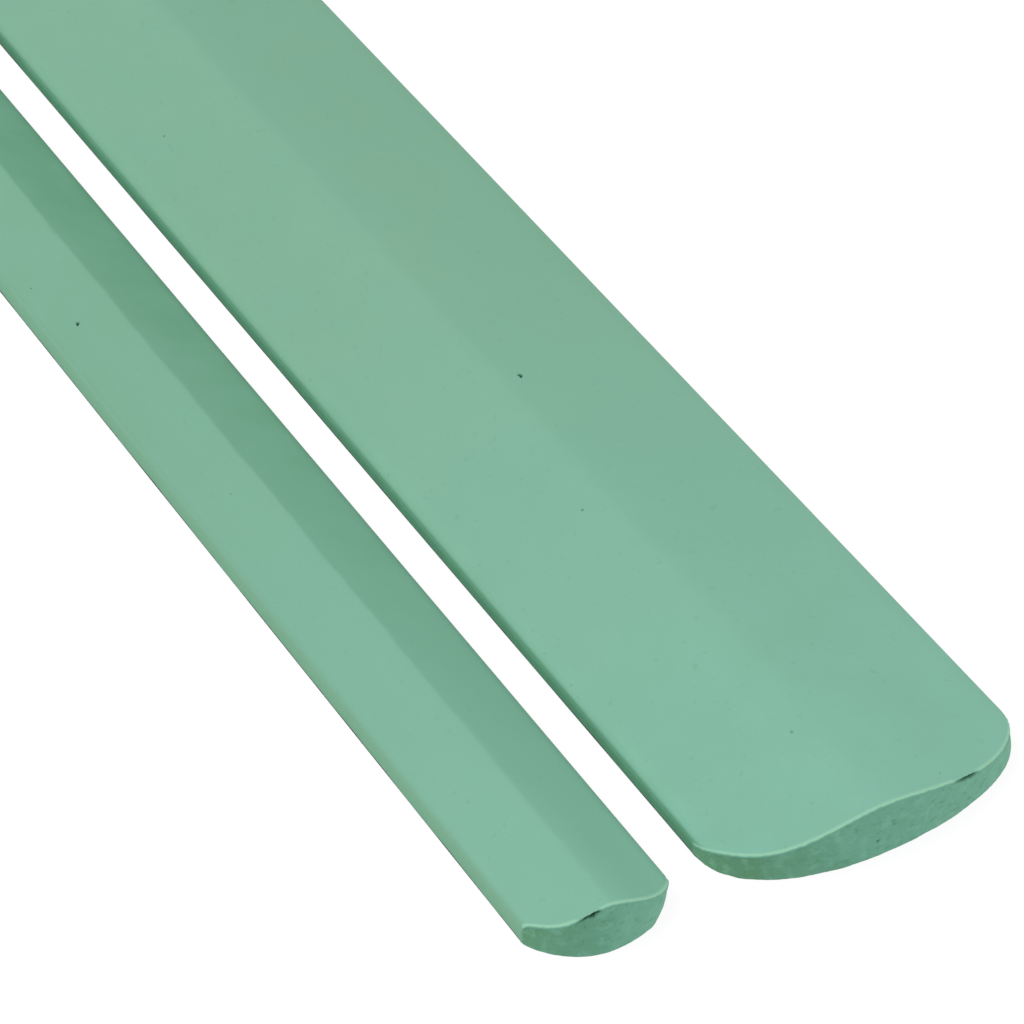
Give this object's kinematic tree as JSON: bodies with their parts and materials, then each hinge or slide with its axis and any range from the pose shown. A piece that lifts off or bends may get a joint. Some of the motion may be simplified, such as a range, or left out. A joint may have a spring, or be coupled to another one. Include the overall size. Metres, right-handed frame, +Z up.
{
  "type": "floral foam bars",
  "caption": "Long mint green foam bars, a wide and a narrow, each with a flat base, a crowned top with a thin smooth skin, and bowed ends with rounded corners.",
  "frame": {"origin": "centre of the pair's bounding box, on the table the bars lie on", "axes": "+Y along the bars, away from the near ends in the reference view; +X across them from the narrow bar to the wide bar; +Z up from the table"},
  "size_m": [0.172, 0.609, 0.0218],
  "materials": {
    "foam_core": "matte",
    "foam_skin": "matte"
  },
  "bodies": {
    "wide_bar": {"wide_bar_core": "foam_core", "wide_bar_top_skin": "foam_skin"},
    "narrow_bar": {"narrow_bar_core": "foam_core", "narrow_bar_top_skin": "foam_skin"}
  },
  "joints": [
    {"name": "narrow_bar_lift", "type": "slide", "parent": "wide_bar", "child": "narrow_bar", "axis": [0, 0, 1], "range_m": [0, 0.06]}
  ]
}
